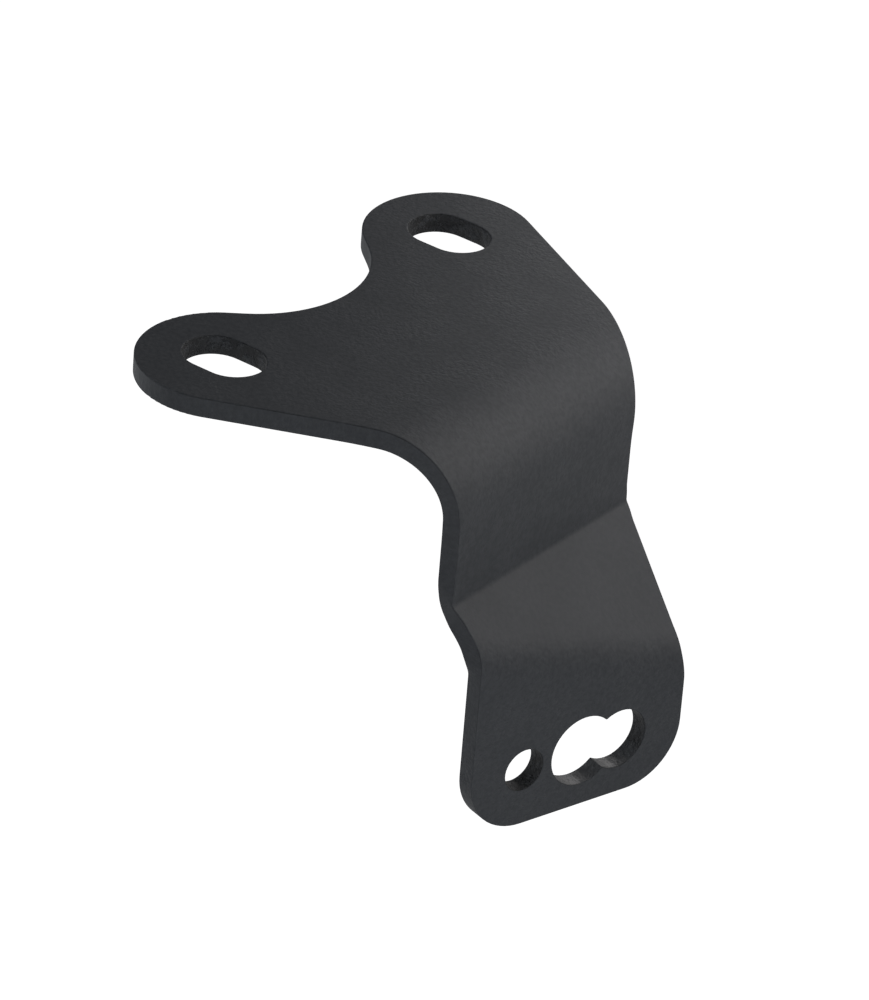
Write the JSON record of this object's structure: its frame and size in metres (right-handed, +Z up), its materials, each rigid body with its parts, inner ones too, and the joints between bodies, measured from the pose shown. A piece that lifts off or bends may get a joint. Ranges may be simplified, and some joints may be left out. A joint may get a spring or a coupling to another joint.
{
  "type": "indicator lamp bracket",
  "caption": "Black powder-coated sheet-steel bracket: slotted lugs on a top plate, a folded drop with an offset, and a turned foot with bolt and lamp holes.",
  "frame": {"origin": "midway between the centres of the lugs' slots, on the upper face of the top plate", "axes": "+Z up and square to the top plate, +X along the slots towards the drop, +Y from the near lug to the far lug"},
  "size_m": [0.0678, 0.0746, 0.0593],
  "materials": {
    "powder_coat": "fine-textured matt black powder coat on steel sheet"
  },
  "bodies": {
    "root": {"lamp_bracket": "powder_coat"}
  },
  "joints": []
}
